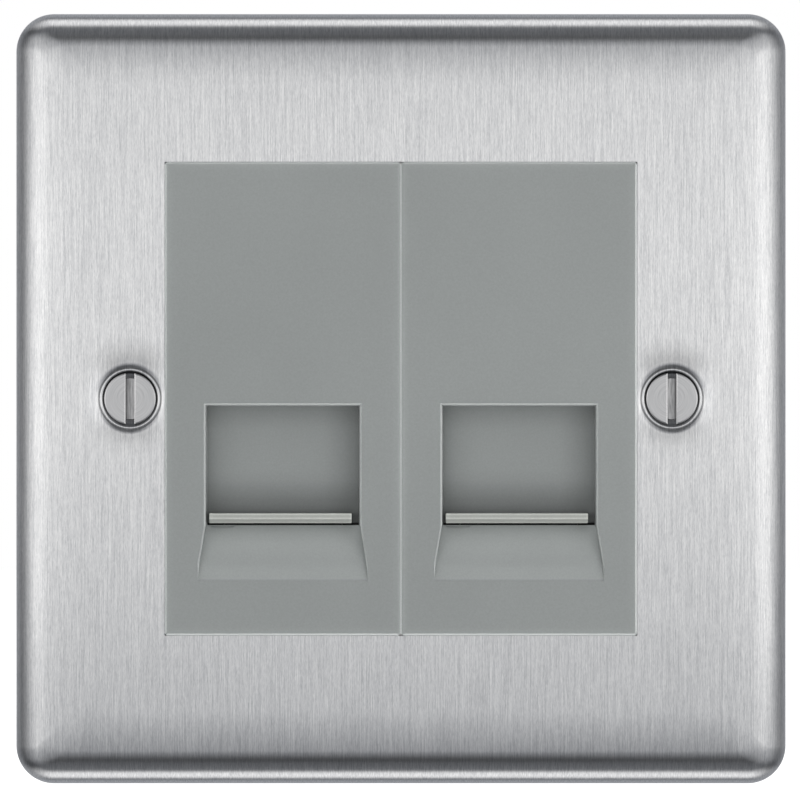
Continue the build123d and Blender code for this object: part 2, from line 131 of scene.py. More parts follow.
# Steel: marks per metre along X, Y and Z or out from a screw's axis, and the tints between which they vary
SHORT_LINES = (16500, 1500, 1800)
FINE_LINES = (15500, 1500, 400)
LONG_LINES = (11000, 1000, 140)
SAWN_LINES = (7000, 900, 500)
TURNED_RINGS = 7000
RING_BREAKS = 350
STEEL_DARK = (0.472, 0.479, 0.494)
STEEL_LIGHT = (0.763, 0.765, 0.768)
HEAD_DARK = (0.49, 0.493, 0.50)
HEAD_LIGHT = (0.61, 0.61, 0.615)
SAWN_DARK = (0.26, 0.26, 0.265)
SAWN_LIGHT = (0.58, 0.58, 0.585)
BRUSHING = 0.86
# Tint by millimetres up from a screw's axis, out from it, or across its slot away from the plate's middle:
# painted shade in the gap round each head, on the step round the seat, above and below each head and along
# the slot's outer side, with a little painted highlight in the slot
GAP_SHADE_UP = ((-2.6, 0.6), (-0.5, 0.16), (1.0, 0.1))
STEP_SHADE_OUT = ((3.36, 1.0), (3.4, 0.62), (3.54, 0.62), (3.6, 1.0))
SHADE_OVER_HEAD_OUT = ((3.55, 1.0), (3.9, 0.86), (4.3, 0.69), (4.8, 0.74), (5.6, 0.86), (7.0, 1.0))
SHADE_UNDER_HEAD_OUT = ((3.55, 1.0), (3.8, 0.82), (4.1, 0.76), (4.5, 0.82), (5.2, 0.92), (6.5, 1.0))
SLOT_SHADE_ACROSS = ((-0.5, 1.0), (-0.12, 1.1), (0.0, 0.85), (0.25, 0.8), (0.38, 0.5), (0.5, 0.45))
# Painted highlight added to the tint beside each head, by millimetres out from a screw's axis
HIGHLIGHT_OUT = ((3.6, 0.06), (3.9, 0.2), (4.3, 0.17), (5.0, 0.05), (5.8, 0.0))
# Shares of these tints: by millimetres out, up and into the head, and by the direction from the axis
BEYOND_GAP_OUT = ((2.7, 1.0), (2.86, 0.0), (3.06, 0.0), (3.13, 1.0))
UPPER_HALF = ((-0.5, 0.0), (0.5, 1.0))
HEAD_FACE_IN = ((0.36, 1.0), (0.64, 0.0))
UPRIGHT_SHARE = ((0.6, 0.0), (0.9, 1.0))
BESIDE_SHARE = ((0.7, 0.0), (0.98, 1.0))

# Plastic: marks per metre along X, Y and Z, and how much they vary the tint and the roughness
GREY = (0.262, 0.277, 0.272)
GRAIN = (5000, 5000, 5000)
GRAIN_TINT = 0.1
GRAIN_ROUGHNESS = 0.06
FLOW = (60, 60, 45)
FLOW_TINT = 0.03
PLASTIC_IOR = 1.42

# Other metal, and the depth of the marks on every surface
METAL_MARKS = (900, 900, 900)
METAL_ROUGHNESS = 0.07
MARK_DEPTH = 0.02 * MM

# Faces of the modules and of the shutters in them
MODULE_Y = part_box("left_front_housing")[0].y
MODULE_X = 13.15 * MM
SHUTTER_Y = -4.05 * MM
RIDGE_HEIGHT = 1.1 * MM
RIDGE_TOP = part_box("left_shutter")[0].z + RIDGE_HEIGHT
# Painted highlight along a module's border and seam, and painted light on its recessed walls and ramp, by
# millimetres in from its border, behind its face and aside from the seam
BORDER_HIGHLIGHT_IN = ((0.0, 0.42), (0.12, 0.28), (0.28, 0.13), (0.5, 0.06), (1.0, 0.01), (2.0, 0.0))
RECESS_LIGHT_BEHIND = ((0.02, 0.0), (0.12, 0.22), (0.9, 0.27), (1.9, 0.35), (2.6, 0.45))
SEAM_HIGHLIGHT_ASIDE = ((0.0, 0.16), (0.15, 0.09), (0.28, 0.02), (0.4, 0.0))
# Painted shade on a shutter's panel and a warm painted highlight on its ridge, by millimetres above its ridge
# and to the right of the module's middle
SHADE_UP = (
    (-0.3, 0.36), (0.2, 0.66), (0.93, 0.73), (1.5, 0.72), (2.6, 0.82),
    (3.7, 0.95), (4.8, 1.0), (9.3, 0.99), (10.4, 0.93), (11.5, 0.86),
)
SHADE_ACROSS = (
    (-8.5, 0.8), (-8.1, 0.88), (-7.0, 0.94), (-5.0, 1.0),
    (4.5, 0.98), (6.5, 0.86), (7.6, 0.8), (8.5, 0.8),
)
HIGHLIGHT_UP = (
    (-1.1, 1.75), (-0.95, 1.5), (-0.8, 1.22), (-0.7, 1.3), (-0.55, 1.95),
    (-0.42, 1.42), (-0.25, 1.36), (-0.12, 1.95), (0.0, 1.9),
)
HIGHLIGHT_ACROSS = ((-8.2, 1.15), (-7.7, 1.04), (-7.3, 1.0), (7.2, 1.0), (7.5, 1.08), (7.66, 1.4))
HIGHLIGHT_COLOUR = (1.0, 0.975, 0.93)
# Share of the painted highlight by millimetres in front of the shutter's panel
HIGHLIGHT_FORWARD = ((0.5, 0.0), (1.6, 1.0))

# Rounding of the solids' edges
FRAME_ROUND = 0.15 * MM
PLASTIC_ROUND = 0.12 * MM
THIN_ROUND = 0.06 * MM
ROUND_STEPS = 3
ROUND_ANGLE = math.radians(28)
FLAT_ANGLE = math.radians(1)
WELD_REACH = 0.0005 * MM

# Springs, contacts and what is soldered to the circuit boards
SPRING_TURNS = 4
SPRING_WIRE_RADIUS = 0.2 * MM
SPRING_STEPS_PER_TURN = 36
WIRE_SIDES = 12
CONTACT_COUNT = 6
CONTACT_THICKNESS = 0.25 * MM
CONTACT_BEND = 0.55 * MM
CONTACT_NOSE_HEIGHT = 3.2 * MM
CONTACT_CREST_REACH = 7.75 * MM
CONTACT_CREST_HEIGHT = 5.5 * MM
CONTACT_END_REACH = 1.4 * MM
CONTACT_END_DROP = 1.6 * MM
BEND_STEPS = 8
TRACK_WIDTH = 0.6 * MM
TRACK_HEIGHT = 0.05 * MM
TRACK_BEND = 1.0 * MM
TRACK_FAN_START = -14.0 * MM
TRACK_FAN_END = -5.0 * MM
TRACK_END = 4.0 * MM
SOLDER_RADIUS = 0.75 * MM
SOLDER_HEIGHT = 0.7 * MM
SOLDER_TAPER = 0.5
SOLDER_POWER = 1.5
SOLDER_STEPS = 6
SOLDER_SIDES = 24

# Picture
PICTURE_WIDTH = 89.44 * MM
CAMERA_DISTANCE = 0.8
CAMERA_RIGHT = -0.11 * MM
CAMERA_UP = -0.14 * MM
SENSOR_WIDTH = 36.0
CLIP_START = 0.01
CLIP_END = 20.0
FLOOR_Z = -0.055
FLOOR_SIZE = 3.0
FLOOR_TINT = (0.8, 0.8, 0.8, 1)
FLOOR_GLOW = 1.35
FLOOR_GLOW_SHARE = 0.7
COOL = (0.91, 0.94, 1.0)
WHITE = (1.0, 1.0, 1.0)
WARM = (1.0, 0.99, 0.975)
# Brightness of the room by half turns up or down from the camera, and by the backward part of the direction
ROOM_TILT = ((0.0, 0.1), (0.22, 0.04), (0.26, 0.06), (0.30, 0.13), (0.38, 0.19), (0.60, 0.2))
ROOM_BEHIND = ((0.5, 0.0), (0.72, 0.25))
# Brightness of the room's strips by half turns as above, and their share by the sideways part
STRIP_TILT = ((0.45, 0.0), (0.50, 1.14), (0.58, 1.3), (0.62, 1.0), (0.67, 0.0))
STRIP_ASIDE = ((0.12, 1.0), (0.75, 0.05))
CARD_RADIUS = 0.25
CARD_REACH = 115
CARD_HALF_HEIGHT = 0.30
CARD_STEPS = 46
# Brightness of the card by degrees to the right of the camera
CARD_LEFT = (
    (-115, 0.05), (-98, 0.08), (-87, 0.36), (-78, 0.9),
    (-66, 1.5), (-57, 1.74), (-46, 1.69), (-35, 1.45),
)
CARD_MIDDLE = ((-24, 1.18), (-12, 0.99), (0, 0.94), (12, 1.02), (24, 1.23))
CARD_RIGHT = ((35, 1.5), (46, 1.7), (57, 1.76), (66, 1.56), (78, 1.1), (87, 0.66), (98, 0.3), (115, 0.1))
CARD_ACROSS = CARD_LEFT + CARD_MIDDLE + CARD_RIGHT
# Brightness of the card by millimetres up, at its middle and at its sides
CARD_BELOW = (
    (-245, 0.02), (-215, 0.04), (-191, 0.09), (-157, 0.19),
    (-128, 0.26), (-104, 0.36), (-90, 0.465),
)
CARD_CENTRE = (
    (-74, 0.54), (-54, 0.615), (-38, 0.73), (-24, 0.86),
    (-10, 0.92), (10, 0.985), (30, 1.0), (44, 0.96),
)
CARD_ABOVE = (
    (58, 0.9), (78, 0.77), (93, 0.6), (103, 0.48),
    (148, 0.36), (183, 0.19), (210, 0.08), (232, 0.02),
)
CARD_UPWARD = CARD_BELOW + CARD_CENTRE + CARD_ABOVE
CARD_SIDES_BELOW = (
    (-290, 0.18), (-260, 0.24), (-191, 0.42), (-128, 0.45),
    (-100, 0.41), (-66, 0.49), (-42, 0.63),
)
CARD_SIDES_CENTRE = (
    (-38, 0.8), (-32, 0.9), (-22, 0.97), (-8, 1.0),
    (20, 1.0), (44, 0.9), (58, 0.78), (80, 0.66),
)
CARD_SIDES_ABOVE = ((99, 0.6), (119, 0.61), (183, 0.6), (260, 0.44), (290, 0.32))
CARD_SIDES_UPWARD = CARD_SIDES_BELOW + CARD_SIDES_CENTRE + CARD_SIDES_ABOVE
# Degrees over which the card's middle turns into its sides, and its colour by brightness
CARD_SIDE_START = 25
CARD_SIDE_END = 60
CARD_COLOURS = ((0.1, COOL), (0.9, WHITE), (1.8, WARM))
# Lamps in circles about the plate's axis: name, direction in degrees from the right, power in watts
LAMP_DISTANCE = 1.0
FILL_OFF_AXIS = 48
FILL_SIZE = 0.8
FILL_LAMPS = (
    ("right_fill", 0, 2.6),
    ("top_fill", 90, 3.4),
    ("left_fill", 180, 1.9),
    ("low_fill", 270, 4.0),
)
EDGE_OFF_AXIS = 88
EDGE_SIZE = 0.1
EDGE_LAMPS = (
    ("right_edge", 0, 4.6),
    ("top_edge", 90, 2.5),
    ("left_edge", 180, 2.8),
    ("low_edge", 270, 4.0),
)
BACK_LAMP_PLACE = (0.5, 0.8, 0.6)
BACK_LAMP_SIZE = 0.8
BACK_LAMP_POWER = 9.0


# Node trees


def add_node(tree, kind, inputs=None, **settings):
    """Adds a node, sets its options, and links or sets each named input."""
    node = tree.nodes.new(kind)
    for name, value in settings.items():
        setattr(node, name, value)
    for key, value in (inputs or {}).items():
        if isinstance(value, bpy.types.NodeSocket):
            tree.links.new(value, node.inputs[key])
        else:
            node.inputs[key].default_value = value
    return node


def new_material(name):
    """A material with a Principled shader; returns it with its tree and that shader."""
    material = bpy.data.materials.new(name)
    material.use_nodes = True
    tree = material.node_tree
    return material, tree, tree.nodes["Principled BSDF"]


def object_place(tree):
    """Coordinates in the object's own frame, which is the socket's."""
    return add_node(tree, "ShaderNodeTexCoord").outputs["Object"]


def noise_over(tree, place, detail, roughness=0.5):
    """Value of a noise whose features are about one unit of the given coordinates."""
    noise = add_node(
        tree,
        "ShaderNodeTexNoise",
        {"Vector": place, "Scale": 1.0, "Detail": detail, "Roughness": roughness},
    )
    return noise.outputs["Fac"]


def scaled_noise(tree, scale, detail, roughness=0.5):
    """Noise over the object's own coordinates, with its own scale along each axis."""
    mapping = add_node(tree, "ShaderNodeMapping", {"Vector": object_place(tree), "Scale": scale})
    return noise_over(tree, mapping.outputs["Vector"], detail, roughness)


def ramp(tree, factor, stops):
    """Colour ramp through (place, colour) stops; a number stands for a grey."""
    node = add_node(tree, "ShaderNodeValToRGB", {"Fac": factor})
    elements = node.color_ramp.elements
    while len(elements) < len(stops):
        elements.new(0.5)
    for element, (place, colour) in zip(elements, stops):
        element.position = place
        parts = (colour, colour, colour) if isinstance(colour, (int, float)) else colour
        element.color = (*parts, 1.0)
    return node.outputs["Color"]


def remap(tree, value, low, high, start=0.0, end=1.0):
    """Maps start to end onto low to high."""
    inputs = {"Value": value, "From Min": start, "From Max": end, "To Min": low, "To Max": high}
    return add_node(tree, "ShaderNodeMapRange", inputs).outputs["Result"]


def levels_over(tree, value, levels):
    """Level at a value, from (value, level) pairs in rising order; a level is a number or a colour."""
    low, high = levels[0][0], levels[-1][0]
    stops = [((place - low) / (high - low), level) for place, level in levels]
    return ramp(tree, remap(tree, value, 0.0, 1.0, low, high), stops)


def math_node(tree, operation, first, second=0.0):
    return add_node(tree, "ShaderNodeMath", {0: first, 1: second}, operation=operation).outputs[0]


def in_millimetres(tree, length):
    return math_node(tree, "DIVIDE", length, MM)


def mixed_values(tree, share, first, second):
    """The first number where the share is 0, the second where it is 1."""
    return add_node(tree, "ShaderNodeMix", {0: share, 2: first, 3: second}, data_type="FLOAT").outputs[0]


def mixed_colours(tree, share, first, second):
    """The first colour where the share is 0, the second where it is 1."""
    return add_node(tree, "ShaderNodeMix", {0: share, 6: first, 7: second}, data_type="RGBA").outputs[2]


def vector_node(tree, operation, first, second=(0, 0, 0)):
    return add_node(tree, "ShaderNodeVectorMath", {0: first, 1: second}, operation=operation).outputs[0]


def scaled(tree, vector, factor):
    """A vector or colour times a number."""
    node = add_node(tree, "ShaderNodeVectorMath", {0: vector, "Scale": factor}, operation="SCALE")
    return node.outputs[0]


def part_along(tree, vector, axis):
    """A vector's part along the axis X, Y or Z."""
    return add_node(tree, "ShaderNodeSeparateXYZ", {0: vector}).outputs[axis]


def from_screw_axis(tree, place):
    """Sideways offset from the nearer screw's axis, and its length."""
    sideways = math_node(tree, "ABSOLUTE", part_along(tree, place, "X"))
    off_axis = math_node(tree, "SUBTRACT", sideways, SCREW_X)
    height = part_along(tree, place, "Z")
    offset = add_node(tree, "ShaderNodeCombineXYZ", {"X": off_axis, "Z": height}).outputs[0]
    length = add_node(tree, "ShaderNodeVectorMath", {0: offset}, operation="LENGTH")
    return offset, length.outputs["Value"]


def bump(tree, height, strength):
    """Normal of a surface with marks of the given strength."""
    node = add_node(tree, "ShaderNodeBump", {"Height": height, "Strength": strength, "Distance": MARK_DEPTH})
    return node.outputs["Normal"]


# Materials


def across_the_brushing(tree):
    """Direction on the surface across brush lines that run up the flat sheet before it is pressed."""
    normal = add_node(tree, "ShaderNodeNewGeometry").outputs["Normal"]
    parts = add_node(tree, "ShaderNodeSeparateXYZ", {0: normal})
    turn = math_node(tree, "SUBTRACT", 1.0, parts.outputs["Y"])
    share = math_node(tree, "DIVIDE", parts.outputs["X"], turn)
    middle = vector_node(tree, "ADD", normal, (0, -1, 0))
    return vector_node(tree, "SUBTRACT", (1, 0, 0), scaled(tree, middle, share))


def seat_gap_shade(tree, height, radius):
    """Painted shade in the gap round each head, darkest above the head, and on the step round the seat."""
    gap_shade = levels_over(tree, height, GAP_SHADE_UP)
    clean = levels_over(tree, radius, BEYOND_GAP_OUT)
    step = levels_over(tree, radius, STEP_SHADE_OUT)
    return mixed_values(tree, clean, gap_shade, step)


def screw_shade_and_highlight(tree, height, radius, outward):
    """Painted shade on the steel above and below each head, and a painted highlight beside the head."""
    over = levels_over(tree, radius, SHADE_OVER_HEAD_OUT)
    under = levels_over(tree, radius, SHADE_UNDER_HEAD_OUT)
    upper = levels_over(tree, height, UPPER_HALF)
    shaded = mixed_values(tree, upper, under, over)
    beside = levels_over(tree, math_node(tree, "DIVIDE", outward, radius), BESIDE_SHARE)
    highlight_gain = math_node(tree, "MULTIPLY", levels_over(tree, radius, HIGHLIGHT_OUT), beside)
    highlighted = math_node(tree, "ADD", 1.0, highlight_gain)
    upright = math_node(tree, "DIVIDE", math_node(tree, "ABSOLUTE", height), radius)
    return mixed_values(tree, levels_over(tree, upright, UPRIGHT_SHARE), highlighted, shaded)


def brushed_steel():
    """Steel brushed up and down, with painted shade and painted highlight round its screws."""
    material, tree, shader = new_material("brushed_steel")
    short = scaled_noise(tree, SHORT_LINES, detail=2, roughness=0.75)
    fine = scaled_noise(tree, FINE_LINES, detail=2, roughness=0.75)
    long = scaled_noise(tree, LONG_LINES, detail=3, roughness=0.65)
    total = math_node(tree, "ADD", math_node(tree, "ADD", short, fine), long)
    streaks = math_node(tree, "DIVIDE", total, 3.0)
    clean = ramp(tree, streaks, [(0.4, STEEL_DARK), (0.6, STEEL_LIGHT)])
    place = object_place(tree)
    height = in_millimetres(tree, part_along(tree, place, "Z"))
    offset, distance = from_screw_axis(tree, place)
    radius = in_millimetres(tree, distance)
    outward = in_millimetres(tree, part_along(tree, offset, "X"))
    # painted shade in the gap round each head and on the step round the seat
    gap_shade = seat_gap_shade(tree, height, radius)
    # painted shade above and below each head, painted highlight beside it
    shade_and_highlight = screw_shade_and_highlight(tree, height, radius, outward)
    tint = scaled(tree, clean, math_node(tree, "MULTIPLY", gap_shade, shade_and_highlight))
    tree.links.new(tint, shader.inputs["Base Color"])
    tree.links.new(remap(tree, streaks, 0.335, 0.28), shader.inputs["Roughness"])
    tree.links.new(bump(tree, fine, 0.15), shader.inputs["Normal"])
    tree.links.new(across_the_brushing(tree), shader.inputs["Tangent"])
    shader.inputs["Metallic"].default_value = 1.0
    shader.inputs["Anisotropic"].default_value = BRUSHING
    return material


def turned_steel():
    """Screw steel with faint rings from turning; the sawn slot and the shank are duller, with painted shade
    along the slot's outer side and a faint painted highlight near its inner side.
    """
    material, tree, shader = new_material("screw_steel")
    place = object_place(tree)
    offset, radius = from_screw_axis(tree, place)
    outward = in_millimetres(tree, part_along(tree, offset, "X"))
    rings = math_node(tree, "MULTIPLY", radius, TURNED_RINGS)
    ring_place = add_node(tree, "ShaderNodeCombineXYZ", {"X": rings}).outputs[0]
    mark_place = vector_node(tree, "ADD", ring_place, scaled(tree, offset, RING_BREAKS))
    marks = noise_over(tree, mark_place, detail=3, roughness=0.6)
    head = ramp(tree, marks, [(0.32, HEAD_DARK), (0.68, HEAD_LIGHT)])
    sawn = scaled_noise(tree, SAWN_LINES, detail=3, roughness=0.6)
    dull = ramp(tree, sawn, [(0.3, SAWN_DARK), (0.7, SAWN_LIGHT)])
    # painted shade along the slot's outer side, faint painted highlight near its inner side
    dull = scaled(tree, dull, levels_over(tree, outward, SLOT_SHADE_ACROSS))
    depth = math_node(tree, "SUBTRACT", part_along(tree, place, "Y"), FACE_Y)
    face = levels_over(tree, in_millimetres(tree, depth), HEAD_FACE_IN)
    tree.links.new(mixed_colours(tree, face, dull, head), shader.inputs["Base Color"])
    tree.links.new(remap(tree, marks, 0.28, 0.42), shader.inputs["Roughness"])
    tree.links.new(bump(tree, marks, 0.12), shader.inputs["Normal"])
    shader.inputs["Metallic"].default_value = 1.0
    return material


def painted_module_highlight(tree):
    """Painted highlight on a module's edges, fading a little way in from its border and the seam, and painted
    light on its recessed walls and ramp.
    """
    place = object_place(tree)
    sideways = math_node(tree, "ABSOLUTE", part_along(tree, place, "X"))
    upwards = math_node(tree, "ABSOLUTE", part_along(tree, place, "Z"))
    to_side = math_node(tree, "SUBTRACT", WINDOW_HALF_WIDTH, sideways)
    to_end = math_node(tree, "SUBTRACT", WINDOW_HALF_HEIGHT, upwards)
    to_border = math_node(tree, "MINIMUM", math_node(tree, "MINIMUM", sideways, to_side), to_end)
    # painted highlight along the module's border
    border = levels_over(tree, in_millimetres(tree, to_border), BORDER_HIGHLIGHT_IN)
    depth = math_node(tree, "SUBTRACT", part_along(tree, place, "Y"), MODULE_Y)
    # painted light on the recessed walls and ramp, growing with depth
    relief = levels_over(tree, in_millimetres(tree, depth), RECESS_LIGHT_BEHIND)
    # painted highlight beside the seam
    seam = levels_over(tree, in_millimetres(tree, sideways), SEAM_HIGHLIGHT_ASIDE)
    lightened = math_node(tree, "ADD", math_node(tree, "ADD", border, relief), seam)
    return math_node(tree, "ADD", 1.0, lightened)


def painted_shutter_shade_and_highlight(tree):
    """Tint of a shutter: painted shade in the corners of its panel and above its ridge, and a warm painted
    highlight on its ridge.
    """
    place = object_place(tree)
    x = part_along(tree, place, "X")
    module_x = math_node(tree, "MULTIPLY", math_node(tree, "SIGN", x), MODULE_X)
    rightwards = in_millimetres(tree, math_node(tree, "SUBTRACT", x, module_x))
    above = in_millimetres(tree, math_node(tree, "SUBTRACT", part_along(tree, place, "Z"), RIDGE_TOP))
    forward = in_millimetres(tree, math_node(tree, "SUBTRACT", SHUTTER_Y, part_along(tree, place, "Y")))
    # painted shade in the panel's corners, deepest just above the ridge
    painted_shade_up = levels_over(tree, above, SHADE_UP)
    painted_shade = math_node(tree, "MULTIPLY", painted_shade_up, levels_over(tree, rightwards, SHADE_ACROSS))
    # painted highlight on the ridge, with brighter lines at its edges and ends
    painted_highlight_up = levels_over(tree, above, HIGHLIGHT_UP)
    painted_highlight = math_node(tree, "MULTIPLY", painted_highlight_up, levels_over(tree, rightwards, HIGHLIGHT_ACROSS))
    share = levels_over(tree, forward, HIGHLIGHT_FORWARD)
    return mixed_colours(tree, share, painted_shade, scaled(tree, HIGHLIGHT_COLOUR, painted_highlight))


def moulded_plastic(name, colour, roughness, painted_light=None):
    """Plastic with a fine moulded grain and faint flow marks; painted_light gives a factor of painted light
    and shade by place.
    """
    material, tree, shader = new_material(name)
    fine = scaled_noise(tree, GRAIN, detail=3)
    flow = scaled_noise(tree, FLOW, detail=2)
    dark = tuple((1 - FLOW_TINT) * part for part in colour)
    light = tuple((1 + FLOW_TINT) * part for part in colour)
    tint = ramp(tree, flow, [(0.3, dark), (0.7, light)])
    tint = scaled(tree, tint, remap(tree, fine, 1 - GRAIN_TINT, 1 + GRAIN_TINT))
    if painted_light:
        tint = vector_node(tree, "MULTIPLY", tint, painted_light(tree))
    tree.links.new(tint, shader.inputs["Base Color"])
    gloss = remap(tree, fine, roughness - GRAIN_ROUGHNESS, roughness + GRAIN_ROUGHNESS)
    tree.links.new(gloss, shader.inputs["Roughness"])
    tree.links.new(bump(tree, fine, 0.15), shader.inputs["Normal"])
    shader.inputs["IOR"].default_value = PLASTIC_IOR
    return material


def plain_metal(name, dark, light, roughness):
    """Drawn or rolled metal with faint marks."""
    material, tree, shader = new_material(name)
    marks = scaled_noise(tree, METAL_MARKS, detail=4)
    tree.links.new(ramp(tree, marks, [(0.3, dark), (0.7, light)]), shader.inputs["Base Color"])
    gloss = remap(tree, marks, roughness - METAL_ROUGHNESS, roughness + METAL_ROUGHNESS)
    tree.links.new(gloss, shader.inputs["Roughness"])
    tree.links.new(bump(tree, marks, 0.08), shader.inputs["Normal"])
    shader.inputs["Metallic"].default_value = 1.0
    return material


materials = {
    "brushed_steel": brushed_steel(),
    "screw_steel": turned_steel(),
    "frame_plastic": moulded_plastic("frame_plastic", (0.035, 0.036, 0.038), 0.5),
    # grey plastic: painted highlight on module edges and seam, painted light in the recesses
    "grey_plastic": moulded_plastic("grey_plastic", GREY, 0.42, painted_module_highlight),
    "spring_steel": plain_metal("spring_steel", (0.5, 0.5, 0.51), (0.64, 0.64, 0.64), 0.3),
    "black_plastic": moulded_plastic("black_plastic", (0.018, 0.018, 0.019), 0.42),
    "contact_metal": plain_metal("contact_metal", (0.74, 0.52, 0.20), (0.86, 0.64, 0.30), 0.25),
    "board_laminate": moulded_plastic("board_laminate", (0.02, 0.14, 0.05), 0.35),
    "white_plastic": moulded_plastic("white_plastic", (0.72, 0.72, 0.69), 0.35),
    "tinned_metal": plain_metal("tinned_metal", (0.6, 0.6, 0.59), (0.74, 0.74, 0.72), 0.32),
}
track_mask = moulded_plastic("track_mask", (0.045, 0.24, 0.09), 0.3)
# shutter plastic: painted shade on the panel, painted highlight on the ridge
shutter_plastic = moulded_plastic("shutter_plastic", GREY, 0.42, painted_shutter_shade_and_highlight)
for subpart in frame["record"]["subparts"]:
    mesh = cad_nodes[subpart["node"]].data
    mesh.materials.clear()
    mesh.materials.append(materials[subpart["material_slot"]])
for side in SIDES:
    cad_nodes[f"{side}_shutter"].data.materials[0] = shutter_plastic


# Building blocks of pieces


def keep_flats(piece):
    """Lets large flat faces keep their own direction where they meet rounds."""
    modifier = piece.modifiers.new("keep_flats", "WEIGHTED_NORMAL")
    modifier.keep_sharp = True


def area_of(node):
    """Area of a solid as its modifiers leave it."""
    bpy.context.view_layer.update()
    shown = node.evaluated_get(bpy.context.evaluated_depsgraph_get())
    area = sum(face.area for face in shown.to_mesh().polygons)
    shown.to_mesh_clear()
    return area


def soften(node_name, width):
    """Rounds the sharp edges of a solid a little, as moulded and pressed pieces have them.

    Rounding takes area away. Where area is added, a face has closed an opening, and the edges stay sharp.
    """
    node = cad_nodes[node_name]
    plain_area = area_of(node)
    weld = node.modifiers.new("weld", "WELD")
    weld.merge_threshold = WELD_REACH
    flats = node.modifiers.new("flats", "DECIMATE")
    flats.decimate_type = "DISSOLVE"
    flats.angle_limit = FLAT_ANGLE
    rounds = node.modifiers.new("rounds", "BEVEL")
    rounds.width = width
    rounds.segments = ROUND_STEPS
    rounds.limit_method = "ANGLE"
    rounds.angle_limit = ROUND_ANGLE
    if area_of(node) > plain_area:
        node.modifiers.remove(rounds)
        node.modifiers.remove(flats)
    keep_flats(node)


def add_piece(name, mesh, slot, material=None, sharp_degrees=35):
    """Puts a mesh in the scene as a smooth piece of the socket, by default with its slot's material."""
    mesh.materials.append(material or materials[slot])
    mesh.polygons.foreach_set("use_smooth", [True] * len(mesh.polygons))
    mesh.set_sharp_from_angle(angle=math.radians(sharp_degrees))
    piece = bpy.data.objects.new(name, mesh)
    bpy.context.scene.collection.objects.link(piece)
    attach(piece, "socket")
    return piece


def mesh_of(bm, name):
    """Closes a bmesh into a mesh whose faces point outwards."""
    bmesh.ops.recalc_face_normals(bm, faces=bm.faces)
    mesh = bpy.data.meshes.new(name)
    bm.to_mesh(mesh)
    bm.free()
    return mesh


def modified(mesh, name, *changes):
    """The mesh after a list of (modifier type, settings) has been applied to it."""
    holder = bpy.data.objects.new(name, mesh)
    bpy.context.scene.collection.objects.link(holder)
    for number, (kind, settings) in enumerate(changes):
        modifier = holder.modifiers.new(f"change_{number}", kind)
        for key, value in settings.items():
            setattr(modifier, key, value)
    bpy.context.view_layer.update()
    result = bpy.data.meshes.new_from_object(holder.evaluated_get(bpy.context.evaluated_depsgraph_get()))
    bpy.data.objects.remove(holder)
    return result


def join_rings(bm, rings):
    """Quads between closed rings of as many vertices each."""
    for first, second in zip(rings, rings[1:]):
        count = len(first)
        for i in range(count):
            j = (i + 1) % count
            bm.faces.new((first[i], first[j], second[j], second[i]))


def capped_tube(bm, rings):
    """A closed skin over rings, with a face on the first and on the last one."""
    join_rings(bm, rings)
    for ring in (rings[0], rings[-1]):
        bm.faces.new(ring)


def lathe(bm, x, z, profile, steps):
    """Turns (radius, level) points about an axis along Y through x and z, and closes both ends."""
    angles = [2 * math.pi * step / steps for step in range(steps)]
    rings = []
    for radius, level in profile:
        places = [(x + radius * math.cos(a), level, z + radius * math.sin(a)) for a in angles]
        rings.append([bm.verts.new(place) for place in places])
    capped_tube(bm, rings)


def rounded_path(corners, radius):
    """Points of a flat line whose inner corners are rounded by arcs of the given radius."""
    corners = [Vector(corner) for corner in corners]
    points = [corners[0]]
    for before, corner, after in zip(corners, corners[1:], corners[2:]):
        arriving = (corner - before).normalized()
        leaving = (after - corner).normalized()
        turn = arriving.angle_signed(leaving)
        inward = Vector((arriving.y, -arriving.x)) * math.copysign(1.0, turn)
        start = corner - arriving * radius * math.tan(abs(turn) / 2)
        centre = start + inward * radius
        spoke = -inward * radius
        for step in range(BEND_STEPS + 1):
            swing = turn * step / BEND_STEPS
            cosine, sine = math.cos(swing), math.sin(swing)
            swung = Vector((spoke.x * cosine + spoke.y * sine, spoke.y * cosine - spoke.x * sine))
            points.append(centre + swung)
    return points + [corners[-1]]


def bent_strip(bm, path, thickness, low, high, place):
    """A strip along a flat path: its thickness lies in the path's plane, and low to high is its width.

    place turns the path's two coordinates and the one across it into a point of the socket.
    """
    rings = []
    for i, point in enumerate(path):
        along = (path[min(i + 1, len(path) - 1)] - path[max(i - 1, 0)]).normalized()
        aside = Vector((-along.y, along.x)) * thickness / 2
        inner, outer = point - aside, point + aside
        section = [(inner, low), (inner, high), (outer, high), (outer, low)]
        rings.append([bm.verts.new(place(flat.x, flat.y, across)) for flat, across in section])
    capped_tube(bm, rings)


def rounded_rectangle(half_width, half_height, radius, steps):
    """Points (x, z) round a rectangle with rounded corners, anticlockwise as seen from the room."""
    points = []
    for quarter, (x_sign, z_sign) in enumerate(((1, 1), (-1, 1), (-1, -1), (1, -1))):
        centre_x = x_sign * (half_width - radius)
        centre_z = z_sign * (half_height - radius)
        for step in range(steps + 1):
            angle = (quarter + step / steps) * math.pi / 2
            points.append((centre_x + radius * math.cos(angle), centre_z + radius * math.sin(angle)))
    return points


# Steel plate


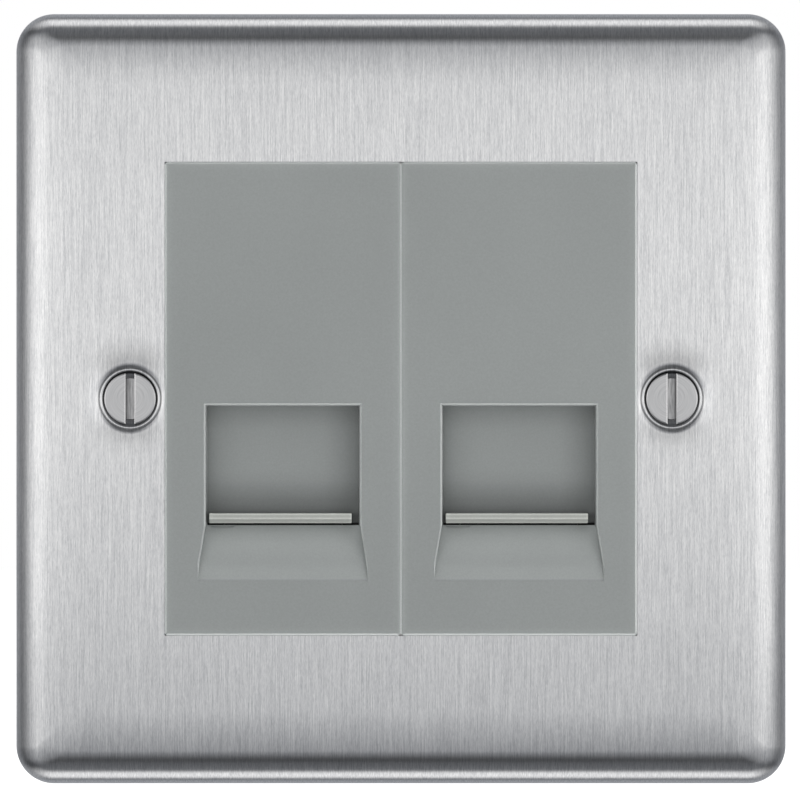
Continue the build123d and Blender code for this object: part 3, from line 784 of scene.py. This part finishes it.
def plate_profile():
    """Points (inset from the edge, level) from the wall over the rolled edge to the flat face."""
    end_angle = math.pi / 2 - CROWN_SLOPE
    roll_end = ROLL_RADIUS * (1 - math.sin(CROWN_SLOPE))
    crown_width = CROWN_START - roll_end
    crown_drop = CROWN_SLOPE * crown_width / (CROWN_POWER + 1)
    centre_y = FACE_Y + crown_drop + ROLL_RADIUS * math.cos(CROWN_SLOPE)
    profile = [(0.0, 0.0)]
    for step in range(ROLL_STEPS + 1):
        angle = end_angle * step / ROLL_STEPS
        profile.append((ROLL_RADIUS * (1 - math.cos(angle)), centre_y - ROLL_RADIUS * math.sin(angle)))
    for step in range(1, CROWN_STEPS + 1):
        left = 1 - step / CROWN_STEPS
        profile.append((CROWN_START - left * crown_width, FACE_Y + crown_drop * left ** (CROWN_POWER + 1)))
    return profile


def lip_depth(radius):
    """Depth below the plate's face of a dimple's lip, which steepens towards the screw."""
    reach = DIMPLE_RADIUS - LIP_RADIUS
    share = (DIMPLE_RADIUS - radius) / reach
    return math.tan(LIP_SLOPE) * reach * share ** (LIP_POWER + 1) / (LIP_POWER + 1)


def dimple_angles():
    """Directions round a dimple's axis: first the open arc beyond the window, then those over the window.

    Angle 0 points away from the window. The window's edge cuts off the near part of the lip.
    """
    cut = math.acos((SCREW_X - WINDOW_HALF_WIDTH) / DIMPLE_RADIUS)
    far = math.pi - cut
    steps_far = round(DIMPLE_STEPS * far / math.pi)
    steps_near = DIMPLE_STEPS - steps_far
    arc = [-far + 2 * far * step / steps_far for step in range(steps_far + 1)]
    over = [far + 2 * cut * step / steps_near for step in range(1, steps_near)]
    return arc, over


def dimple_reach(angle):
    """Radius at which the dimple ends in this direction: at its rim or at the window's edge."""
    towards_window = -math.cos(angle)
    if towards_window <= 0:
        return DIMPLE_RADIUS
    return min(DIMPLE_RADIUS, (SCREW_X - WINDOW_HALF_WIDTH) / towards_window)


def dimple_section(reach):
    """Points (radius, depth) from the end of the lip over the crowned rim and down the seat to the hole."""
    section = []
    for step in range(LIP_STEPS + 1):
        radius = reach + (LIP_RADIUS - reach) * step / LIP_STEPS
        section.append((radius, lip_depth(radius)))
    for step in range(RIM_STEPS + 1):
        share = step / RIM_STEPS
        radius = RIM_RADIUS + (SEAT_RADIUS - RIM_RADIUS) * share
        section.append((radius, SEAT_DEPTH - RIM_CROWN * math.sin(math.pi * share)))
    hole_depth = SEAT_RADIUS + SEAT_DEPTH - SCREW_HOLE_RADIUS
    section.append((SCREW_HOLE_RADIUS, hole_depth))
    section.append((SCREW_HOLE_RADIUS, hole_depth + HOLE_COLLAR))
    return section


def window_outline(arc):
    """Points (x, z) round the window and the dimples that open into it, anticlockwise."""
    corners = rounded_rectangle(WINDOW_HALF_WIDTH, WINDOW_HALF_HEIGHT, WINDOW_CORNER, WINDOW_CORNER_STEPS)
    per_corner = WINDOW_CORNER_STEPS + 1
    right = [(SCREW_X + DIMPLE_RADIUS * math.cos(a), DIMPLE_RADIUS * math.sin(a)) for a in arc]
    left = [(-x, -z) for x, z in right]
    return right + corners[: 2 * per_corner] + left + corners[2 * per_corner :]


def steel_plate():
    """The pressed sheet: rolled edge, faint crown, flat face with the window, and the two dimples."""
    bm = bmesh.new()
    rings = []
    for inset, level in plate_profile():
        half = PLATE_HALF - inset
        outline = rounded_rectangle(half, half, max(ROLL_RADIUS - inset, INNER_CORNER), CORNER_STEPS)
        rings.append([bm.verts.new((x, level, z)) for x, z in outline])
    join_rings(bm, rings)
    arc, over = dimple_angles()
    outline = [bm.verts.new((x, FACE_Y, z)) for x, z in window_outline(arc)]
    edges = []
    for loop in (rings[-1], outline):
        for first, second in zip(loop, loop[1:] + loop[:1]):
            edges.append(bm.edges.get((first, second)) or bm.edges.new((first, second)))
    bmesh.ops.triangle_fill(bm, use_beauty=True, edges=edges, normal=(0, -1, 0))
    for side in (-1, 1):
        spokes = []
        for angle in arc + over:
            x_share, z_share = side * math.cos(angle), side * math.sin(angle)
            section = dimple_section(dimple_reach(angle))
            spokes.append([(side * SCREW_X + r * x_share, FACE_Y + d, r * z_share) for r, d in section])
        join_rings(bm, [[bm.verts.new(place) for place in ring] for ring in zip(*spokes)])
    bmesh.ops.remove_doubles(bm, verts=bm.verts, dist=MERGE_REACH)
    mesh = mesh_of(bm, "steel_plate")
    thicken = {"thickness": SHEET, "offset": -1.0, "use_even_offset": True}
    piece = add_piece("steel_plate", modified(mesh, "sheet", ("SOLIDIFY", thicken)), "brushed_steel")
    keep_flats(piece)
    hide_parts("front_plate")
    return piece


# Fixing screws


def slot_cutter():
    """Bars that cut the slots, flared where they leave the heads; the flare goes on in front of the heads."""
    half = SLOT_WIDTH / 2
    spread = half + 3 * SLOT_FLARE
    face = FACE_Y + HEAD_SINK
    reach = 1.5 * HEAD_RADIUS
    side = [
        (half, face + SLOT_DEPTH),
        (half, face + SLOT_FLARE_DEPTH),
        (spread, face - 2 * SLOT_FLARE_DEPTH),
    ]
    section = side + [(-x, y) for x, y in reversed(side)]
    bm = bmesh.new()
    for screw_x in (-SCREW_X, SCREW_X):
        ends = []
        for z in (-reach, reach):
            ends.append([bm.verts.new((screw_x + x, y, z)) for x, y in section])
        capped_tube(bm, ends)
    return mesh_of(bm, "slot_cutter")


def screw_heads():
    """Slotted countersunk heads with their necks, which end at the wall."""
    bm = bmesh.new()
    head_line = SEAT_RADIUS + SEAT_DEPTH - SEAT_CLEARANCE
    profile = []
    for step in range(HEAD_EDGE_STEPS + 1):
        angle = math.pi / 2 * step / HEAD_EDGE_STEPS
        radius = HEAD_RADIUS - HEAD_EDGE_WIDTH * (1 - math.sin(angle))
        profile.append((radius, FACE_Y + HEAD_SINK + HEAD_EDGE_DEPTH * (1 - math.cos(angle))))
    profile += [
        (HEAD_RADIUS, FACE_Y + head_line - HEAD_RADIUS),
        (NECK_RADIUS, FACE_Y + head_line - NECK_RADIUS),
        (NECK_RADIUS, 0.0),
    ]
    for x in (-SCREW_X, SCREW_X):
        lathe(bm, x, 0.0, profile, DIMPLE_STEPS)
    heads = mesh_of(bm, "heads")
    cutter = bpy.data.objects.new("slot_cutter", slot_cutter())
    bpy.context.scene.collection.objects.link(cutter)
    cut = {"operation": "DIFFERENCE", "object": cutter, "solver": "EXACT"}
    slotted = modified(heads, "heads", ("BOOLEAN", cut))
    bpy.data.objects.remove(cutter)
    return slotted


def thread_shape(phase):
    """Share of the thread's height at a phase from 0 to 1 along one pitch: crest, flank, root, flank."""
    from_root = abs(phase - 0.5) * 2
    return min(1.0, max(0.0, (from_root - THREAD_ROOT_SHARE) / THREAD_FLANK_SHARE))


def screw_threads(bm):
    """Threaded shanks from the wall to the chamfered tip."""
    end = FACE_Y + HEAD_SINK + SCREW_LENGTH
    count = round(end / THREAD_PITCH * THREAD_RINGS_PER_TURN)
    for x in (-SCREW_X, SCREW_X):
        rings = []
        for number in range(count + 1):
            level = end * number / count
            limit = min(NECK_RADIUS + level, THREAD_RADIUS, THREAD_RADIUS - TIP_CHAMFER + (end - level))
            ring = []
            for step in range(THREAD_STEPS):
                turn = step / THREAD_STEPS
                phase = (level / THREAD_PITCH - turn) % 1.0
                radius = min(limit, THREAD_RADIUS - THREAD_HEIGHT * (1 - thread_shape(phase)))
                angle = 2 * math.pi * turn
                ring.append(bm.verts.new((x + radius * math.cos(angle), level, radius * math.sin(angle))))
            rings.append(ring)
        capped_tube(bm, rings)


def fixing_screws():
    """Both screws with their heads, slots and threads, as one piece."""
    bm = bmesh.new()
    screw_threads(bm)
    bm.from_mesh(screw_heads())
    piece = add_piece("slotted_screws", mesh_of(bm, "slotted_screws"), "screw_steel")
    keep_flats(piece)
    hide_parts("fixing_screws")
    return piece


# Inside the modules


def coil_spring(side):
    """Round-wire return spring from the shutter to the housing's shelf."""
    low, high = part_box(f"{side}_shutter_spring")
    centre = (low + high) / 2
    coil_radius = (high.x - low.x) / 2 - SPRING_WIRE_RADIUS
    coil_height = high.z - low.z - 2 * SPRING_WIRE_RADIUS
    steps = SPRING_TURNS * SPRING_STEPS_PER_TURN
    lean = math.atan2(coil_height / SPRING_TURNS, 2 * math.pi * coil_radius)
    bm = bmesh.new()
    rings = []
    for step in range(steps + 1):
        turn = 2 * math.pi * step / SPRING_STEPS_PER_TURN
        outward = Vector((math.cos(turn), math.sin(turn), 0))
        onward = Vector((-math.sin(turn), math.cos(turn), 0))
        upward = Vector((0, 0, math.cos(lean))) - onward * math.sin(lean)
        level = low.z + SPRING_WIRE_RADIUS + coil_height * step / steps
        middle = Vector((centre.x, centre.y, level)) + outward * coil_radius
        ring = []
        for number in range(WIRE_SIDES):
            angle = 2 * math.pi * number / WIRE_SIDES
            aside = outward * math.cos(angle) + upward * math.sin(angle)
            ring.append(bm.verts.new(middle + SPRING_WIRE_RADIUS * aside))
        rings.append(ring)
    capped_tube(bm, rings)
    piece = add_piece(f"{side}_coil_spring", mesh_of(bm, "coil_spring"), "spring_steel")
    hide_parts(f"{side}_shutter_spring")
    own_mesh(piece)


def contact_strips(side):
    """Six contacts bent from strip: a tail through the board, a turn at the nose and a crest in the well."""
    names = [f"{side}_contact_{number + 1}" for number in range(CONTACT_COUNT)]
    half = CONTACT_THICKNESS / 2
    bm = bmesh.new()
    for name in names:
        low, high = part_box(name)
        base = low.z + half
        nose = low.y + half
        crest_y = nose + CONTACT_CREST_REACH
        crest_z = base + CONTACT_CREST_HEIGHT
        corners = [
            (high.y, base),
            (nose, base),
            (nose, base + CONTACT_NOSE_HEIGHT),
            (crest_y, crest_z),
            (crest_y + CONTACT_END_REACH, crest_z - CONTACT_END_DROP),
        ]
        path = rounded_path(corners, CONTACT_BEND)
        bent_strip(bm, path, CONTACT_THICKNESS, low.x, high.x, lambda y, z, x: (x, y, z))
    piece = add_piece(f"{side}_contact_strips", mesh_of(bm, "contact_strips"), "contact_metal")
    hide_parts(*names)


def board_details(side):
    """Masked tracks and solder joints on the back of the circuit board."""
    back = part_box(f"{side}_circuit_board")[1].y
    tracks = bmesh.new()
    solder = bmesh.new()
    for number in range(1, CONTACT_COUNT + 1):
        pin_low, pin_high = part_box(f"{side}_contact_{number}")
        blade_low, blade_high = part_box(f"{side}_idc_terminal_{number}")
        pin_x = (pin_low.x + pin_high.x) / 2
        pin_z = pin_low.z + CONTACT_THICKNESS / 2
        blade_x = (blade_low.x + blade_high.x) / 2
        corners = [(pin_x, pin_z), (pin_x, TRACK_FAN_START), (blade_x, TRACK_FAN_END), (blade_x, TRACK_END)]
        path = rounded_path(corners, TRACK_BEND)
        bent_strip(tracks, path, TRACK_WIDTH, back, back + TRACK_HEIGHT, lambda x, z, y: (x, y, z))
        profile = []
        for step in range(SOLDER_STEPS + 1):
            share = step / SOLDER_STEPS
            narrow = SOLDER_RADIUS * (1 - SOLDER_TAPER * math.sin(share * math.pi / 2))
            profile.append((narrow, back + TRACK_HEIGHT + SOLDER_HEIGHT * share**SOLDER_POWER))
        lathe(solder, pin_x, pin_z, [(SOLDER_RADIUS, back)] + profile, SOLDER_SIDES)
    add_piece(f"{side}_board_tracks", mesh_of(tracks, "board_tracks"), "board_laminate", track_mask)
    add_piece(f"{side}_solder_joints", mesh_of(solder, "solder_joints"), "tinned_metal", sharp_degrees=60)


bare_steel = [steel_plate(), fixing_screws()]
soften("rear_frame", FRAME_ROUND)
for side in SIDES:
    soften(f"{side}_front_housing", PLASTIC_ROUND)
    soften(f"{side}_shutter", PLASTIC_ROUND)
    soften(f"{side}_jack_body", PLASTIC_ROUND)
    soften(f"{side}_contact_carrier", THIN_ROUND)
    soften(f"{side}_circuit_board", THIN_ROUND)
    soften(f"{side}_idc_block", PLASTIC_ROUND)
    coil_spring(side)
    contact_strips(side)
    board_details(side)


# Studio


def studio_world():
    """White to the camera; to the socket, a dim room, lighter behind, with a bright strip above and below."""
    world = bpy.data.worlds.new("studio")
    bpy.context.scene.world = world
    world.use_nodes = True
    tree = world.node_tree
    direction = add_node(tree, "ShaderNodeTexCoord").outputs["Generated"]
    backwards = part_along(tree, direction, "Y")
    sideways = math_node(tree, "ABSOLUTE", part_along(tree, direction, "X"))
    height = math_node(tree, "ABSOLUTE", part_along(tree, direction, "Z"))
    towards = math_node(tree, "MULTIPLY", backwards, -1.0)
    tilt = math_node(tree, "DIVIDE", math_node(tree, "ARCTAN2", height, towards), math.pi)
    room = math_node(tree, "ADD", ramp(tree, tilt, ROOM_TILT), ramp(tree, backwards, ROOM_BEHIND))
    strip = math_node(tree, "MULTIPLY", ramp(tree, tilt, STRIP_TILT), ramp(tree, sideways, STRIP_ASIDE))
    light = vector_node(tree, "ADD", scaled(tree, COOL, room), scaled(tree, WARM, strip))
    seen = add_node(tree, "ShaderNodeLightPath").outputs["Is Camera Ray"]
    shown = mixed_colours(tree, seen, light, (*WHITE, 1.0))
    tree.links.new(shown, tree.nodes["Background"].inputs["Color"])


def stage_sheet(name, bm, material):
    """A sheet of the studio, which isn't part of the socket."""
    mesh = bpy.data.meshes.new(name)
    bm.to_mesh(mesh)
    bm.free()
    mesh.materials.append(material)
    sheet = bpy.data.objects.new(name, mesh)
    bpy.context.scene.collection.objects.link(sheet)
    return sheet


def front_card():
    """Curved white card in front of the plate, which the metal reflects; it fades towards its edges."""
    material, tree, shader = new_material("front_card")
    tree.nodes.remove(shader)
    place = object_place(tree)
    towards = math_node(tree, "MULTIPLY", part_along(tree, place, "Y"), -1.0)
    turn = math_node(tree, "ARCTAN2", part_along(tree, place, "X"), towards)
    degrees = math_node(tree, "MULTIPLY", turn, 180 / math.pi)
    side = remap(tree, math_node(tree, "ABSOLUTE", degrees), 0.0, 1.0, CARD_SIDE_START, CARD_SIDE_END)
    height = in_millimetres(tree, part_along(tree, place, "Z"))
    middle_upward = levels_over(tree, height, CARD_UPWARD)
    sides_upward = levels_over(tree, height, CARD_SIDES_UPWARD)
    upward = mixed_values(tree, side, middle_upward, sides_upward)
    strength = math_node(tree, "MULTIPLY", levels_over(tree, degrees, CARD_ACROSS), upward)
    colour = levels_over(tree, strength, CARD_COLOURS)
    glow = add_node(tree, "ShaderNodeEmission", {"Color": colour, "Strength": strength})
    tree.links.new(glow.outputs[0], tree.nodes["Material Output"].inputs["Surface"])
    bm = bmesh.new()
    columns = []
    for step in range(CARD_STEPS + 1):
        angle = math.radians(CARD_REACH * (2 * step / CARD_STEPS - 1))
        x, y = CARD_RADIUS * math.sin(angle), -CARD_RADIUS * math.cos(angle)
        columns.append([bm.verts.new((x, y, z)) for z in (-CARD_HALF_HEIGHT, CARD_HALF_HEIGHT)])
    for first, second in zip(columns, columns[1:]):
        bm.faces.new((first[0], second[0], second[1], first[1]))
    card = stage_sheet("front_card", bm, material)
    card.visible_camera = False
    card.visible_diffuse = False
    card.visible_shadow = False


def pale_floor():
    """Pale floor below the plate: white to the camera but for a soft shadow, and clear from below."""
    material, tree, shader = new_material("pale_floor")
    tree.nodes.remove(shader)
    matt = add_node(tree, "ShaderNodeBsdfDiffuse", {"Color": FLOOR_TINT})
    glow = add_node(tree, "ShaderNodeEmission", {"Color": (*WHITE, 1.0), "Strength": FLOOR_GLOW})
    seen = add_node(tree, "ShaderNodeLightPath").outputs["Is Camera Ray"]
    share = math_node(tree, "MULTIPLY", seen, FLOOR_GLOW_SHARE)
    upper = add_node(tree, "ShaderNodeMixShader", {0: share, 1: matt.outputs[0], 2: glow.outputs[0]})
    clear = add_node(tree, "ShaderNodeBsdfTransparent")
    below = add_node(tree, "ShaderNodeNewGeometry").outputs["Backfacing"]
    both = add_node(tree, "ShaderNodeMixShader", {0: below, 1: upper.outputs[0], 2: clear.outputs[0]})
    tree.links.new(both.outputs[0], tree.nodes["Material Output"].inputs["Surface"])
    bm = bmesh.new()
    bmesh.ops.create_grid(bm, x_segments=1, y_segments=1, size=FLOOR_SIZE / 2)
    floor = stage_sheet("floor", bm, material)
    floor.location.z = FLOOR_Z
    floor.visible_glossy = False
    floor.visible_shadow = False


def lamp_receivers():
    """What the lamps light: all but the front's bare steel, which shows the card and the room alone."""
    receivers = bpy.data.collections.new("lit_by_lamps")
    for item in bpy.context.scene.objects:
        if item.type == "MESH" and item not in bare_steel:
            receivers.objects.link(item)
    return receivers


def soft_lamp(name, place, size, power, receivers):
    """Area lamp aimed at the socket."""
    lamp = bpy.data.lights.new(name, "AREA")
    lamp.shape = "SQUARE"
    lamp.size = size
    lamp.energy = power
    holder = bpy.data.objects.new(name, lamp)
    holder.location = place
    holder.rotation_euler = (-Vector(place)).to_track_quat("-Z", "Y").to_euler()
    holder.visible_camera = False
    holder.light_linking.receiver_collection = receivers
    bpy.context.scene.collection.objects.link(holder)


def lamp_ring(lamps, off_axis_degrees, size, receivers):
    """Lamps at one angle from the plate's axis."""
    off_axis = math.radians(off_axis_degrees)
    reach = LAMP_DISTANCE * math.sin(off_axis)
    for name, around, power in lamps:
        turn = math.radians(around)
        place = (reach * math.cos(turn), -LAMP_DISTANCE * math.cos(off_axis), reach * math.sin(turn))
        soft_lamp(name, place, size, power, receivers)


def front_camera():
    """Long lens straight in front of the plate, framed as in the photograph."""
    lens = bpy.data.cameras.new("camera")
    lens.sensor_width = SENSOR_WIDTH
    outline_y = FACE_Y + ROLL_RADIUS
    lens.lens = SENSOR_WIDTH * (CAMERA_DISTANCE + outline_y) / PICTURE_WIDTH
    lens.clip_start = CLIP_START
    lens.clip_end = CLIP_END
    camera = bpy.data.objects.new("camera", lens)
    camera.location = (CAMERA_RIGHT, -CAMERA_DISTANCE, CAMERA_UP)
    camera.rotation_euler = (math.pi / 2, 0, 0)
    bpy.context.scene.collection.objects.link(camera)
    bpy.context.scene.camera = camera


studio_world()
front_card()
pale_floor()
lit = lamp_receivers()
lamp_ring(FILL_LAMPS, FILL_OFF_AXIS, FILL_SIZE, lit)
lamp_ring(EDGE_LAMPS, EDGE_OFF_AXIS, EDGE_SIZE, lit)
soft_lamp("back_lamp", BACK_LAMP_PLACE, BACK_LAMP_SIZE, BACK_LAMP_POWER, lit)
front_camera()
bpy.context.scene.view_settings.view_transform = "Standard"
